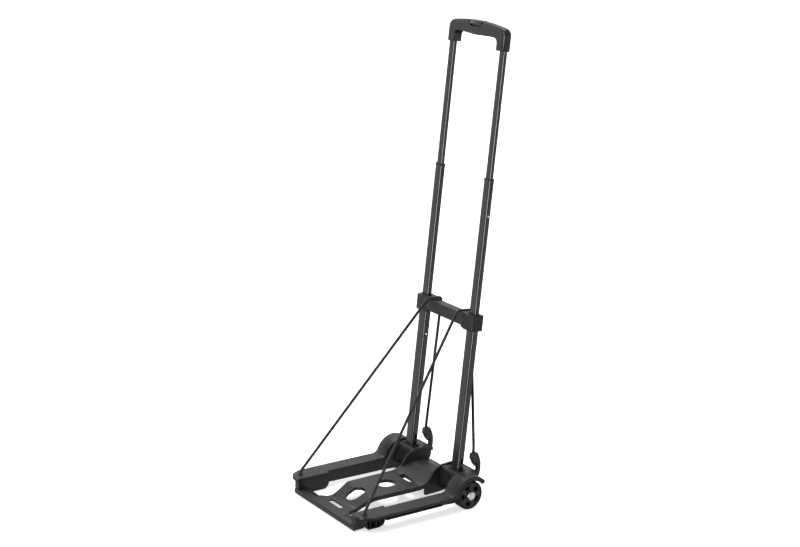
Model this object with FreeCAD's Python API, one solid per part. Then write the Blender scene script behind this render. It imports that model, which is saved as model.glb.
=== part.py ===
import FreeCAD, Part
import math
import os

# Folding two-wheeled luggage cart.  Millimetres, +Z up, +X to the right of a
# person who stands in front of the cart and looks at it, +Y to the rear.
# It is drawn with the wheel axle at y = 0 and the floor at z = 0, and is moved
# at the end so that the origin is the bottom centre of the whole object.

V = FreeCAD.Vector

# ---------------------------------------------------------------- dimensions
LEAN = 5.5              # backward lean of the handle, degrees

# running gear
AXLE_Z = 30.0           # height of the axle
AXLE_R = 4.0
RUN = 0.06              # radial running clearance on the axle
TYRE_R = 30.0
TYRE_IN, TYRE_OUT = 117.0, 141.0
RIM_R = 24.6

# handle
TUBE_X = 82.8           # tube centre line from the middle
LOW_W, LOW_D = 25.0, 15.0
MID_W, MID_D = 21.4, 12.2
TOP_W, TOP_D = 17.6, 9.6
WALL = 0.8
TUBE_R = 4.2            # corner radius of every tube, outside
LOW_T0, LOW_T1 = 37.0, 388.0      # ends along the handle, measured from the floor
MID_T0, MID_T1 = 295.0, 666.0
TOP_T0, TOP_T1 = 580.0, 943.0
MID_TRAVEL, TOP_TRAVEL = 225.0, 240.0
MID_PIN_T, TOP_PIN_T = 311.0, 595.7
PIN_R = 2.5
PIN_TRAVEL = 2.4

# crossbar round the tops of the lower tubes
BLK_X0, BLK_X1 = 57.0, 99.0
BLK_T0, BLK_T1 = 361.0, 394.0
BAR_T0, BAR_T1 = 366.0, 390.0
BLK_D, BAR_D = 15.0, 12.0

# grip
GRIP_X = 93.5
GRIP_LEG_X = 69.5
GRIP_T0 = 920.5
GRIP_D = 10.5
GRIP_ROUND = 8.0
BTN_TRAVEL = 4.0
BTN_X = 19.4            # half length of the button
BTN_Z = 962.6           # lower edge of its front
BTN_PROUD = 0.6

# base
ARM_Z = 36.0            # top of the side arms
ARM_X0, ARM_X1 = 109.0, 144.0
ARM_FRONT_X = 101.0
ARM_FRONT_Y = -262.0
ARM_STEP_Y = -186.0
WALL_P = 3.6            # moulded wall
TRAY_P = 3.6            # skin of the centre tray
ARCH_R = 41.5           # wheel arch
ARCH_Y = 1.0
ARCH_TIP = 38.0         # where the arch ends behind, degrees above the level
FLANGE_X, FLANGE_R = 141.4, 32.2
ARCH_BLEND = 14.0
DECK_Z = 31.5           # top of the centre tray
LOW_Z = 13.0            # top of its low front end
CHEEK_X0, CHEEK_X1 = 47.0, 51.0
SOCK_X0, SOCK_X1 = 52.6, 106.4

# elastic cords
CORD_R = 3.0
CORD_BAR_X = 51.0       # where it crosses the crossbar
CORD_HOOK_OFF = 36.0    # its line behind the leg, at the hook
CORD_X, CORD_Y = 122.0, -243.0
KNOT_TOP = 31.2

NODES = {}


def add(name, shape):
    if isinstance(shape, (list, tuple)):
        shape = Part.makeCompound(list(shape))
    NODES[name] = shape


def mirror_x(shape):
    return shape.mirror(V(0, 0, 0), V(1, 0, 0))


def lean(shape):
    s = shape.copy()
    s.rotate(V(0, 0, 0), V(1, 0, 0), -LEAN)
    return s


def leanpt(x, off, t):
    a = math.radians(LEAN)
    return V(x, off * math.cos(a) + t * math.sin(a), t * math.cos(a) - off * math.sin(a))


def box(x0, x1, y0, y1, z0, z1):
    return Part.makeBox(x1 - x0, y1 - y0, z1 - z0, V(x0, y0, z0))


def cyl_x(x0, x1, y, z, r):
    return Part.makeCylinder(r, x1 - x0, V(x0, y, z), V(1, 0, 0))


def cyl_y(y0, y1, x, z, r):
    return Part.makeCylinder(r, y1 - y0, V(x, y0, z), V(0, 1, 0))


def cyl_z(z0, z1, x, y, r):
    return Part.makeCylinder(r, z1 - z0, V(x, y, z0), V(0, 0, 1))


def rwire(pts, rad, place):
    """Closed outline with rounded corners.  place(u, v) gives the 3-D point."""
    n = len(pts)
    if not isinstance(rad, (list, tuple)):
        rad = [rad] * n
    spans = []
    for i in range(n):
        p0, p, p1 = pts[i - 1], pts[i], pts[(i + 1) % n]
        a = (p0[0] - p[0], p0[1] - p[1])
        b = (p1[0] - p[0], p1[1] - p[1])
        la, lb = math.hypot(*a), math.hypot(*b)
        a = (a[0] / la, a[1] / la)
        b = (b[0] / lb, b[1] / lb)
        dot = max(-1.0, min(1.0, a[0] * b[0] + a[1] * b[1]))
        turn = math.pi - math.acos(dot)
        r = rad[i]
        if r <= 0 or turn < 0.02:
            spans.append((p, p, p))
            continue
        tl = r * math.tan(turn / 2)
        lim = 0.49 * min(la, lb)
        if tl > lim:
            tl = lim
            r = tl / math.tan(turn / 2)
        s = (p[0] + a[0] * tl, p[1] + a[1] * tl)
        e = (p[0] + b[0] * tl, p[1] + b[1] * tl)
        h = (a[0] + b[0], a[1] + b[1])
        lh = math.hypot(*h)
        h = (h[0] / lh, h[1] / lh)
        d = r / math.cos(turn / 2) - r
        m = (p[0] + h[0] * d, p[1] + h[1] * d)
        spans.append((s, m, e))
    edges = []
    for i in range(n):
        s, m, e = spans[i]
        if s != e:
            edges.append(Part.Arc(place(*s), place(*m), place(*e)).toShape())
        nx = spans[(i + 1) % n][0]
        if math.hypot(nx[0] - e[0], nx[1] - e[1]) > 1e-6:
            edges.append(Part.LineSegment(place(*e), place(*nx)).toShape())
    return Part.Wire(edges)


def slab_x(pts, rad, x0, x1):
    """Outline in Y and Z, carried from x0 to x1."""
    w = rwire(pts, rad, lambda y, z: V(x0, y, z))
    return Part.Face(w).extrude(V(x1 - x0, 0, 0))


def slab_y(pts, rad, y0, y1):
    w = rwire(pts, rad, lambda x, z: V(x, y0, z))
    return Part.Face(w).extrude(V(0, y1 - y0, 0))


def slab_z(pts, rad, z0, z1):
    w = rwire(pts, rad, lambda x, y: V(x, y, z0))
    return Part.Face(w).extrude(V(0, 0, z1 - z0))


def rect(x0, x1, y0, y1):
    return [(x0, y0), (x1, y0), (x1, y1), (x0, y1)]


def bar_z(cx, w, d, r, z0, z1, cy=0.0):
    """Rounded rectangle w by d about (cx, cy), from z0 to z1."""
    return slab_z(rect(cx - w / 2, cx + w / 2, cy - d / 2, cy + d / 2), r, z0, z1)


def fuse(a, *rest):
    for b in rest:
        a = a.fuse(b)
    return a.removeSplitter()


def cut(a, *rest):
    for b in rest:
        a = a.cut(b)
    return a


def soften(shape, r, pick):
    """Round the picked edges; leave the shape as it is where that fails."""
    edges = [e for e in shape.Edges if pick(e)]
    if not edges:
        return shape
    try:
        s = shape.makeFillet(r, edges)
        if s.isValid() and s.Volume > 0.5 * shape.Volume:
            return s
    except Exception:
        pass
    good = shape
    return good


def bb(e):
    return e.BoundBox


# --------------------------------------------------------------------- wheels
def wheel():
    """Five-spoked hub and tyre of the right wheel, about the axle."""
    z = AXLE_Z
    rim = cyl_x(TYRE_IN + 1.0, TYRE_OUT - 0.8, 0, z, RIM_R).cut(
        cyl_x(TYRE_IN - 1, TYRE_OUT + 1, 0, z, RIM_R - 2.4))
    # tongue that keys the tyre on the rim
    key = cyl_x(127.0, 131.0, 0, z, RIM_R + 1.5).cut(cyl_x(126, 132, 0, z, RIM_R - 0.5))
    web = cyl_x(125.0, TYRE_OUT - 1.6, 0, z, RIM_R - 1.0)
    web = web.cut(cyl_x(136.0, 142.0, 0, z, 21.6).cut(cyl_x(135.0, 143.0, 0, z, 13.0)))
    face = cyl_x(134.0, TYRE_OUT - 1.6, 0, z, RIM_R - 1.0)
    boss = cyl_x(TYRE_IN - 1.8, TYRE_OUT - 1.0, 0, z, 11.5)
    hub = fuse(rim, key, web, face, boss)
    for k in range(5):
        a = math.radians(111 - 72 * k)
        pts = []
        for rr, da in ((13.6, -0.30), (22.0, -0.40), (23.0, 0.0), (22.0, 0.40), (13.6, 0.30)):
            pts.append((rr * math.cos(a + da), z + rr * math.sin(a + da)))
        hub = hub.cut(slab_x(pts, [2.0, 3.2, 0, 3.2, 2.0], 110, 145))
    hub = hub.cut(cyl_x(110, 145, 0, z, AXLE_R + RUN))
    # recess for the cap
    hub = hub.cut(cyl_x(TYRE_OUT - 1.7, TYRE_OUT + 1, 0, z, 10.3))
    prof = [(TYRE_IN, z + RIM_R + 0.02), (TYRE_OUT, z + RIM_R + 0.02),
            (TYRE_OUT, z + TYRE_R - 2.6), (TYRE_OUT - 2.6, z + TYRE_R),
            (TYRE_IN + 2.6, z + TYRE_R), (TYRE_IN, z + TYRE_R - 2.6)]
    w = rwire(prof, [0, 0, 2.0, 2.0, 2.0, 2.0], lambda x, zz: V(x, 0, zz))
    tyre = Part.Face(w).revolve(V(0, 0, z), V(1, 0, 0), 360)
    groove = cyl_x(126.9, 131.1, 0, z, RIM_R + 1.6)
    tyre = tyre.cut(groove)
    # two fine tread grooves
    for gx in (123.5, 134.5):
        ring = cyl_x(gx - 0.5, gx + 0.5, 0, z, TYRE_R + 1).cut(cyl_x(gx - 1, gx + 1, 0, z, TYRE_R - 0.7))
        tyre = tyre.cut(ring)
    return hub, tyre


# ----------------------------------------------------------------- side arm
def arch_wire(x, grow, y_front):
    """Closed outline of the arm's top strip: flat, then up over the wheel."""
    th = WALL_P
    c = (ARCH_Y, AXLE_Z)
    r0, r1 = ARCH_R + grow, ARCH_R - th
    rf = ARCH_BLEND
    zc = ARM_Z + rf
    yc = c[0] - math.sqrt((ARCH_R + rf) ** 2 - (zc - c[1]) ** 2)
    P = lambda y, z: V(x, y, z)

    def on(cc, r, ang):
        return (cc[0] + r * math.cos(ang), cc[1] + r * math.sin(ang))
    ang = math.atan2(zc - c[1], yc - c[0])
    tip = math.radians(ARCH_TIP)
    o1 = on(c, ARCH_R, ang)
    i1 = on(c, r1, ang)
    fm = (ang - math.pi - math.pi / 2) / 2          # middle direction of the blend arc
    ed = []
    ed.append(Part.LineSegment(P(y_front, ARM_Z), P(yc, ARM_Z)).toShape())
    ed.append(Part.Arc(P(yc, ARM_Z), P(*on((yc, zc), rf, fm)), P(*o1)).toShape())
    ed.append(Part.Arc(P(*o1), P(*on(c, ARCH_R, (ang + tip) / 2)), P(*on(c, ARCH_R, tip))).toShape())
    ed.append(Part.LineSegment(P(*on(c, ARCH_R, tip)), P(*on(c, r1, tip))).toShape())
    ed.append(Part.Arc(P(*on(c, r1, tip)), P(*on(c, r1, (ang + tip) / 2)), P(*i1)).toShape())
    ed.append(Part.Arc(P(*i1), P(*on((yc, zc), rf + th, fm)), P(yc, ARM_Z - th)).toShape())
    ed.append(Part.LineSegment(P(yc, ARM_Z - th), P(y_front, ARM_Z - th)).toShape())
    ed.append(Part.LineSegment(P(y_front, ARM_Z - th), P(y_front, ARM_Z)).toShape())
    return Part.Wire(ed)


def side_arm():
    """Right side arm."""
    strip = Part.Face(arch_wire(ARM_FRONT_X, 0, ARM_FRONT_Y)).extrude(V(ARM_X1 - ARM_FRONT_X, 0, 0))
    # plan outline: rounded nose, wider inboard at the front, narrower behind
    plan = [(ARM_FRONT_X, ARM_FRONT_Y), (128.0, ARM_FRONT_Y), (ARM_X1, -236.0), (ARM_X1, 60.0),
            (ARM_X0, 60.0), (ARM_X0, ARM_STEP_Y), (ARM_FRONT_X, ARM_STEP_Y)]
    prad = [3, 22, 22, 0, 0, 1.2, 1.2]
    strip = strip.common(slab_z(plan, prad, -10, 100))
    # lip that hangs from the outer edge and round the nose
    lip_all = strip.copy()
    lip_all.translate(V(0, 0, -2.6))
    inner = [(ARM_FRONT_X - 5, ARM_FRONT_Y + 2.6), (126.6, ARM_FRONT_Y + 2.6), (ARM_X1 - 2.6, -235.0),
             (ARM_X1 - 2.6, 70.0), (ARM_FRONT_X - 5, 70.0)]
    lip = lip_all.cut(slab_z(inner, [0, 20, 20, 0, 0], -10, 110))
    arm = strip.fuse(lip)
    # outer flange of the arch, close round the tyre's face
    ring = cyl_x(FLANGE_X, ARM_X1, ARCH_Y, AXLE_Z, ARCH_R - 0.4).cut(
        cyl_x(FLANGE_X - 1, ARM_X1 + 1, ARCH_Y, AXLE_Z, FLANGE_R))
    tip = math.radians(ARCH_TIP)
    fan = slab_x([(-60.0, ARM_Z - 5.6), (ARCH_Y, ARM_Z - 5.6),
                  (ARCH_Y + 80 * math.cos(tip), AXLE_Z + 80 * math.sin(tip)), (-60.0, 110.0)], 0,
                 FLANGE_X - 1, ARM_X1 + 1)
    toe = slab_x([(-51.0, ARM_Z - 5.6), (-38.0, ARM_Z - 5.6), (-38.0, 40.0), (-44.0, 36.2), (-51.0, 33.5)], 0,
                 FLANGE_X, ARM_X1)
    arm = arm.fuse(ring.common(fan)).fuse(toe)
    # inner wall: straight beam, then the plate beside the wheel
    beam = slab_x([(ARM_STEP_Y - 2, 10.5), (-50, 9.0), (-20, 8.0), (-20, 35.0), (ARM_STEP_Y - 2, 35.0)],
                  [0, 0, 0, 0, 0], ARM_X0, ARM_X0 + WALL_P)
    disc = cyl_x(ARM_X0, ARM_X0 + WALL_P, ARCH_Y, AXLE_Z, ARCH_R - WALL_P + 0.6)
    keep = slab_x([(-60, 8.0), (12, 8.0), (27, 22), (33, 40), (33, 80), (-60, 80)],
                  [0, 10, 10, 10, 0, 0], ARM_X0 - 5, ARM_X0 + 10)
    arm = arm.fuse(beam).fuse(disc.common(keep))
    # axle boss
    arm = arm.fuse(cyl_x(ARM_X0, ARM_X0 + 4.2, 0, AXLE_Z, 11.0))
    # deeper front: inner wall that comes down beside the foot, and its front face
    nose = slab_x([(-257.0, 14.0), (-257.0, 34.5), (ARM_STEP_Y, 34.5), (ARM_STEP_Y, 1.4),
                   (-236.0, 1.4), (-237.5, 14.0)],
                  [0, 0, 0, 14, 2, 0], ARM_FRONT_X, ARM_FRONT_X + WALL_P)
    front = box(ARM_FRONT_X, 115.0, -259.5, -256.5, 13.2, 35.0)
    cheek = box(112.0, 115.0, -259.5, -237.5, 13.2, 34.5)
    step = box(ARM_FRONT_X, ARM_X0 + WALL_P, ARM_STEP_Y - 2.5, ARM_STEP_Y, 15.6, 35.0)
    arm = fuse(arm, nose, front, cheek, step)
    # ribs under the top strip
    for y in (-168, -144, -120, -96, -72):
        rib = slab_y([(ARM_X0 + 1, 12.5), (ARM_X0 + 1, 34.0), (ARM_X1 - 1.0, 34.0), (ARM_X1 - 1.0, 31.0),
                      (ARM_X0 + 14, 24.0)], 0, y - 1.0, y + 1.0)
        arm = arm.fuse(rib)
    # lower flange that stiffens the beam
    arm = arm.fuse(box(ARM_X0, ARM_X0 + 9.0, ARM_STEP_Y - 2, -52.0, 10.5, 13.0))
    # stop that the socket leans on
    stop = lean(box(100.0, ARM_X0 + 1, 12.5, 17.0, 25.0, 35.0))
    arm = arm.fuse(stop)
    # cord hole with a raised ring
    arm = arm.fuse(cyl_z(ARM_Z - 4.2, ARM_Z + 0.9, CORD_X, CORD_Y, 6.0))
    arm = arm.cut(cyl_z(0, 60, CORD_X, CORD_Y, 3.5))
    arm = arm.cut(Part.makeCone(3.4, 5.0, 1.7, V(CORD_X, CORD_Y, ARM_Z - 0.7), V(0, 0, 1)))
    arm = arm.cut(cyl_x(90, 120, 0, AXLE_Z, AXLE_R + 0.02))
    arm = arm.removeSplitter()
    return arm


def front_foot():
    """Right front foot: a rounded cup, open to the outside, with two webs."""
    prof = [(-236.5, 33.0), (-236.5, 10.0), (-233.0, 0.0), (-205.0, 0.0), (-192.0, 5.0), (-190.0, 33.0)]
    rad = [0, 10, 9, 14, 12, 0]
    inn = [(-233.9, 40.0), (-233.9, 11.0), (-231.5, 2.6), (-206.0, 2.6), (-194.5, 7.0), (-192.6, 40.0)]
    x0, x1 = ARM_FRONT_X + WALL_P + 0.02, 118.0
    s = slab_x(prof, rad, x0, x1)
    s = s.cut(slab_x(inn, [0, 8, 7, 12, 10, 0], x0 + 2.4, x1 + 5))
    s = s.common(box(x0 - 1, x1 + 1, -260, -180, -1, ARM_Z - WALL_P - 0.02))
    for y in (-226.0, -211.0, -201.0):
        s = s.fuse(box(x0 + 1, x1 - 1.6, y - 1.0, y + 1.0, 1.0, 24.0))
    # room for the cord's knot
    s = s.cut(cyl_z(14.0, 40.0, CORD_X, CORD_Y, 9.0))
    return s.removeSplitter()


# --------------------------------------------------------------- centre tray
TRAY_TOP = [(-238.4, LOW_Z), (-214.0, LOW_Z), (-174.0, DECK_Z), (-60.0, DECK_Z), (-16.0, 45.0),
            (10.0, 45.0), (34.0, 37.0)]
TRAY_RAD = [0, 22, 26, 45, 30, 20, 0]


def tray_band(depth, lift=0.0):
    """The tray's long section, depth thick, across the whole width."""
    top = [(y, z + lift) for y, z in TRAY_TOP]
    low = [(y, z - depth) for y, z in reversed(TRAY_TOP)]
    return slab_x(top + low, TRAY_RAD + list(reversed(TRAY_RAD)), -120, 120)


def tray_plan(inset, z0=-20, z1=100):
    half = [(54.0, -238.4), (54.0, -236.0), (44.0, -226.0), (43.0, -214.0), (44.5, -196.0), (49.0, -176.0),
            (51.0, -60.0), (51.0, 34.0)]
    rad = [0, 2, 8, 30, 30, 30, 60, 4]
    i = inset
    h = [(x - i, y + (i if k < 2 else 0) - (i if k == len(half) - 1 else 0)) for k, (x, y) in enumerate(half)]
    pts = h + [(-x, y) for x, y in reversed(h)]
    rr = rad + list(reversed(rad))
    return slab_z(pts, rr, z0, z1)


def oval(cx, cy, hx, hy, grow=0.0, tilt=0.0):
    """Rounded opening, hx by hy half-sizes."""
    r = min(hx, hy) * 0.98 + grow
    return slab_z(rect(cx - hx - grow, cx + hx + grow, cy - hy - grow, cy + hy + grow), r, -20, 100)


def centre_tray():
    plan = tray_plan(0)
    body = tray_band(TRAY_P).common(plan)
    skirt = tray_band(9.0).common(plan.cut(tray_plan(2.6)))
    body = body.fuse(skirt)
    holes = [(0, -231.5, 23.5, 6.0), (0, -185.0, 17.0, 20.5), (0, -111.0, 18.5, 20.5), (0, -61.5, 21.5, 6.5)]
    for hx in holes[1:]:
        ring = oval(*hx, grow=2.4).cut(oval(*hx))
        body = body.fuse(tray_band(7.0).common(ring).common(tray_plan(0.3)))
    # ribs underneath
    ribs = []
    for y in (-160.0, -138.0, -84.0, -40.0, -14.0):
        ribs.append(box(-49, 49, y - 1.0, y + 1.0, -20, 100))
    for x in (-28.0, 28.0):
        ribs.append(box(x - 1.0, x + 1.0, -214.0, 20.0, -20, 100))
    for rib in ribs:
        body = body.fuse(tray_band(7.5).common(rib).common(tray_plan(0.3)))
    for hx in holes:
        body = body.cut(oval(*hx))
    # upright cheeks that carry the axle beside the tube sockets
    prof = [(-50.0, 9.0), (-50.0, 27.0), (-38.0, 43.0), (-27.5, 57.0), (-17.0, 65.0), (-4.0, 68.5), (16.0, 69.5),
            (33.0, 68.5), (34.0, 50.0), (27.0, 34.0), (14.0, 13.0), (-10.0, 10.0)]
    rad = [3, 8, 30, 24, 20, 30, 30, 5, 20, 30, 14, 20]
    cheek = slab_x(prof, rad, CHEEK_X0, CHEEK_X1)
    boss = cyl_x(CHEEK_X0 - 4, CHEEK_X1, 0, AXLE_Z, 9.0)
    body = body.fuse(cheek).fuse(mirror_x(cheek)).fuse(boss).fuse(mirror_x(boss))
    # rear skirt
    body = body.fuse(box(-49, 49, 31.2, 34.0, 26.0, 38.0).common(tray_plan(0)))
    # front tongue under the crossbar
    tongue = slab_z([(-46, -256.0), (46, -256.0), (46, -236.0), (-46, -236.0)], [5, 5, 0, 0], 4.0, 9.9)
    body = body.fuse(tongue)
    body = body.cut(cyl_x(-80, 80, 0, AXLE_Z, AXLE_R + 0.02))
    for x in (-34.0, 34.0):
        body = body.cut(cyl_z(0, 12, x, -249.0, 2.02))
        body = body.cut(cyl_z(0, 6.0, x, -249.0, 4.0))
    for hx in holes[:1]:
        body = body.cut(oval(*hx))
    return body.removeSplitter()


def front_crossbar():
    """Beam across the front; the tray's tongue and both arms sit against it."""
    prof = [(-262.0, 3.0), (-262.0, 13.0), (-238.5, 13.0), (-238.5, 10.0), (-256.5, 10.0), (-258.6, 3.0)]
    s = slab_x(prof, [1.0, 2.0, 0, 0, 1.0, 1.0], -113.0, 113.0)
    for sx in (-1, 1):
        a, b = sorted((sx * 98.0, sx * 113.0))
        s = s.fuse(box(a, b, -260.0, -238.5, 4.0, 12.0))
        # solid ends that weigh the front down
        a, b = sorted((sx * 49.0, sx * 99.0))
        s = s.fuse(box(a, b, -258.0, -238.5, 3.0, 12.0))
        # slits beside the tray
        a, b = sorted((sx * 54.0, sx * 88.0))
        s = s.cut(box(a, b, -245.6, -243.1, 5, 20))
        # knuckle rings near the ends
        s = s.cut(cyl_z(5, 20, sx * 92.5, -247.5, 3.0))
        s = s.cut(cyl_z(3.9, 20, sx * 107.5, -249.0, 2.02)).cut(cyl_z(3.0, 6.5, sx * 107.5, -249.0, 4.0))
    for sx in (-1, 1):
        # downward web either side of the tongue
        a, b = sorted((sx * 46.6, sx * 49.2))
        s = s.fuse(box(a, b, -257.0, -239.0, 4.0, 10.5))
        s = s.cut(cyl_z(9.9, 11.8, sx * 34.0, -249.0, 2.02))
    s = soften(s, 1.2, lambda e: abs(bb(e).ZMin - 13) < 1e-3 and abs(bb(e).ZMax - 13) < 1e-3
               and abs(bb(e).YMin + 260) < 3 and bb(e).XMax - bb(e).XMin > 150)
    return s.removeSplitter()


def pan_screw(x, y, z, length, r=2.0, head=3.9, hh=1.9, up=True):
    """Pan-head screw with a cross recess; the shank points up or down."""
    d = 1 if up else -1
    h = Part.makeCylinder(head, hh, V(x, y, z), V(0, 0, -d))
    h = soften(h, 0.8, lambda e: abs(bb(e).ZMin - (z - d * hh)) < 1e-3 and abs(bb(e).ZMax - (z - d * hh)) < 1e-3)
    s = Part.makeCylinder(r, length, V(x, y, z), V(0, 0, d))
    s = h.fuse(s)
    zz = z - d * hh
    z0, z1 = sorted((zz - d * 0.1, zz + d * 1.0))
    s = s.cut(box(x - 1.9, x + 1.9, y - 0.4, y + 0.4, z0, z1)).cut(box(x - 0.4, x + 0.4, y - 1.9, y + 1.9, z0, z1))
    return s.removeSplitter()


def screw_y(x, y, z, length, d, r=1.6, head=3.2, hh=1.8):
    """The same along Y: the head's back lies at y and the shank points along d."""
    s = pan_screw(0, 0, 0, length, r, head, hh, True)
    s.rotate(V(0, 0, 0), V(1, 0, 0), -90 if d > 0 else 90)
    s.translate(V(x, y, z))
    return s


# -------------------------------------------------------------------- handle
def tube(w, d, t0, t1):
    o = bar_z(TUBE_X, w, d, TUBE_R, t0, t1)
    i = bar_z(TUBE_X, w - 2 * WALL, d - 2 * WALL, TUBE_R - WALL, t0 - 1, t1 + 1)
    return o.cut(i)


def socket_piece():
    """Right tube socket: it turns on the axle and its rear ledge holds the hook."""
    prof = [(-17.9, 66.0), (37.0, 66.0), (37.0, 58.0), (28.0, 58.0), (17.0, 46.0), (12.1, 38.0),
            (12.1, 23.65), (3.34, 14.86), (-9.09, 14.86), (-17.9, 23.65)]
    rad = [5, 2.5, 1.5, 6, 8, 4, 14, 14, 14, 14]
    s = slab_x(prof, rad, SOCK_X0, SOCK_X1)
    # raised mouth
    s = s.fuse(bar_z(TUBE_X, 33.0, 23.5, 4.0, 60.0, 69.5))
    s = s.cut(bar_z(TUBE_X, LOW_W + 0.1, LOW_D + 0.1, TUBE_R, LOW_T0, 80.0))
    mouth = [(LOW_W + 4.0), (LOW_D + 4.0)]
    s = s.cut(bar_z(TUBE_X, mouth[0], mouth[1], TUBE_R + 1.6, 68.2, 80.0))
    # hollows under the ledge, between ribs
    for x0, x1 in ((56.0, 68.5), (97.0, 103.0)):
        s = s.cut(box(x0, x1, 13.5, 34.0, 40.0, 63.0))
    s = s.cut(box(71.0, 76.5, 13.5, 33.0, 40.0, 63.0)).cut(box(89.0, 94.5, 13.5, 33.0, 40.0, 63.0))
    # flutes in the front face
    for x in (62.0, 103.0):
        s = s.cut(slab_z(rect(x - 2.2, x + 2.2, -19.5, -16.6), 1.0, 26.0, 60.0))
    y0 = leanpt(0, 0, 0)
    a = math.radians(LEAN)
    off = -AXLE_Z * math.sin(a)
    t = AXLE_Z * math.cos(a)
    s = s.cut(cyl_x(40, 120, off, t, AXLE_R + RUN))
    s = s.cut(cyl_y(-20, -6.0, TUBE_X, 54.0, 1.62))
    return s.removeSplitter()


def crossbar_solid():
    pts = [(-BLK_X1, BLK_T0), (-BLK_X0 - 12, BLK_T0), (-BLK_X0, BAR_T0), (BLK_X0, BAR_T0), (BLK_X0 + 12, BLK_T0),
           (BLK_X1, BLK_T0), (BLK_X1, BLK_T1), (BLK_X0, BLK_T1), (BLK_X0 - 5, BAR_T1), (-BLK_X0 + 5, BAR_T1),
           (-BLK_X0, BLK_T1), (-BLK_X1, BLK_T1)]
    rad = [4, 3, 3, 3, 3, 4, 4, 2, 2, 2, 2, 4]
    bar = slab_y(pts, rad, -BAR_D, BAR_D)
    blk = []
    for sx in (-1, 1):
        a, b = sorted((sx * BLK_X0, sx * BLK_X1))
        p = rect(a, b, -BLK_D, BLK_D)
        blk.append(slab_z(p, 6.0, BLK_T0, BLK_T1))
    wide = [(math.copysign(BLK_X1 + 0.5, u) if abs(u) == BLK_X1 else u, t) for u, t in pts]
    prof = slab_y(wide, rad, -BLK_D - 1, BLK_D + 1)
    s = bar.common(box(-BLK_X0 - 20, BLK_X0 + 20, -BAR_D, BAR_D, BLK_T0 - 1, BLK_T1 + 1))
    for b in blk:
        s = s.fuse(b.common(prof))
    s = s.removeSplitter()
    s = soften(s, 1.6, lambda e: (abs(bb(e).ZMin - BLK_T1) < 1e-3 or abs(bb(e).ZMax - BLK_T0) < 1e-3)
               and abs(bb(e).ZMax - bb(e).ZMin) < 1e-3)
    s = soften(s, 1.6, lambda e: abs(bb(e).ZMin - BAR_T1) < 1e-3 and abs(bb(e).ZMax - BAR_T1) < 1e-3
               and bb(e).XMax - bb(e).XMin > 80)
    return s


def crossbar_shells():
    s = crossbar_solid()
    # cavity between the two shells
    s = s.cut(slab_y([(-50, 369.0), (50, 369.0), (50, 387.0), (-50, 387.0)], 2.0, -BAR_D + 2.6, BAR_D - 2.6))
    for x in (-38.0, 38.0):
        s = s.fuse(cyl_y(-BAR_D + 1, BAR_D - 1, x, 378.0, 4.6))
    for sx in (-1, 1):
        w, d = LOW_W + 0.04, LOW_D + 0.04
        s = s.cut(slab_z(rect(sx * TUBE_X - w / 2, sx * TUBE_X + w / 2, -d / 2, d / 2), TUBE_R, 300.0, 394.5))
    front = s.common(box(-120, 120, -40, -0.01, 300, 420))
    rear = s.common(box(-120, 120, 0.01, 40, 300, 420))
    for x in (-38.0, 38.0):
        rear = rear.cut(cyl_y(-1, 40, x, 378.0, 1.62)).cut(cyl_y(BAR_D - 2.2, 40, x, 378.0, 3.4))
        front = front.cut(cyl_y(-7.0, 1, x, 378.0, 1.62))
    return front.removeSplitter(), rear.removeSplitter()


def low_bush():
    """Guide ring on a lower tube's mouth, right side."""
    s = bar_z(TUBE_X, LOW_W, LOW_D, TUBE_R, LOW_T1 + 0.02, 395.6)
    s = s.cut(bar_z(TUBE_X, MID_W + 0.5, MID_D + 0.5, TUBE_R, LOW_T1 - 1, 400.0))
    return s


def mid_bush():
    """Guide cap on a middle tube's mouth with two tongues that snap in its sides."""
    cap = bar_z(TUBE_X, MID_W + 1.2, MID_D + 1.2, TUBE_R + 0.5, MID_T1 + 0.02, MID_T1 + 4.0)
    s = cap
    for sx in (-1, 1):
        x0, x1 = sorted((TUBE_X + sx * (TOP_W / 2 + 0.3), TUBE_X + sx * (MID_W / 2 - WALL - 0.02)))
        s = s.fuse(box(x0, x1, -1.9, 1.9, MID_T1 - 25.0, MID_T1 + 1.0))
        x0, x1 = sorted((TUBE_X + sx * (MID_W / 2 - WALL - 0.3), TUBE_X + sx * (MID_W / 2 + 0.25)))
        s = s.fuse(box(x0, x1, -1.7, 1.7, MID_T1 - 23.0, MID_T1 - 3.0))
    s = s.cut(bar_z(TUBE_X, TOP_W + 0.5, TOP_D + 0.5, TUBE_R, MID_T1 - 40, MID_T1 + 10))
    return s.removeSplitter()


def lock_head(w, d, t0, t1, pin_t, rod_t):
    """Plug in a tube's foot with a cross bore for the lock pin."""
    s = bar_z(TUBE_X, w, d, TUBE_R - WALL + 0.1, t0, t1)
    s = s.cut(cyl_x(TUBE_X - 4.5, TUBE_X + 20, 0, pin_t, PIN_R + 0.05))
    if rod_t:
        s = s.cut(cyl_z(rod_t, t1 + 1, TUBE_X, 0, 2.3))
    return s.removeSplitter()


def lock_pin(reach, pin_t, back):
    """Steel lock pin with a domed end; reach is its tip from the tube's centre line."""
    s = cyl_x(TUBE_X - back, TUBE_X + reach, 0, pin_t, PIN_R)
    s = soften(s, 0.7, lambda e: abs(bb(e).XMin - (TUBE_X + reach)) < 1e-3)
    return s


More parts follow.
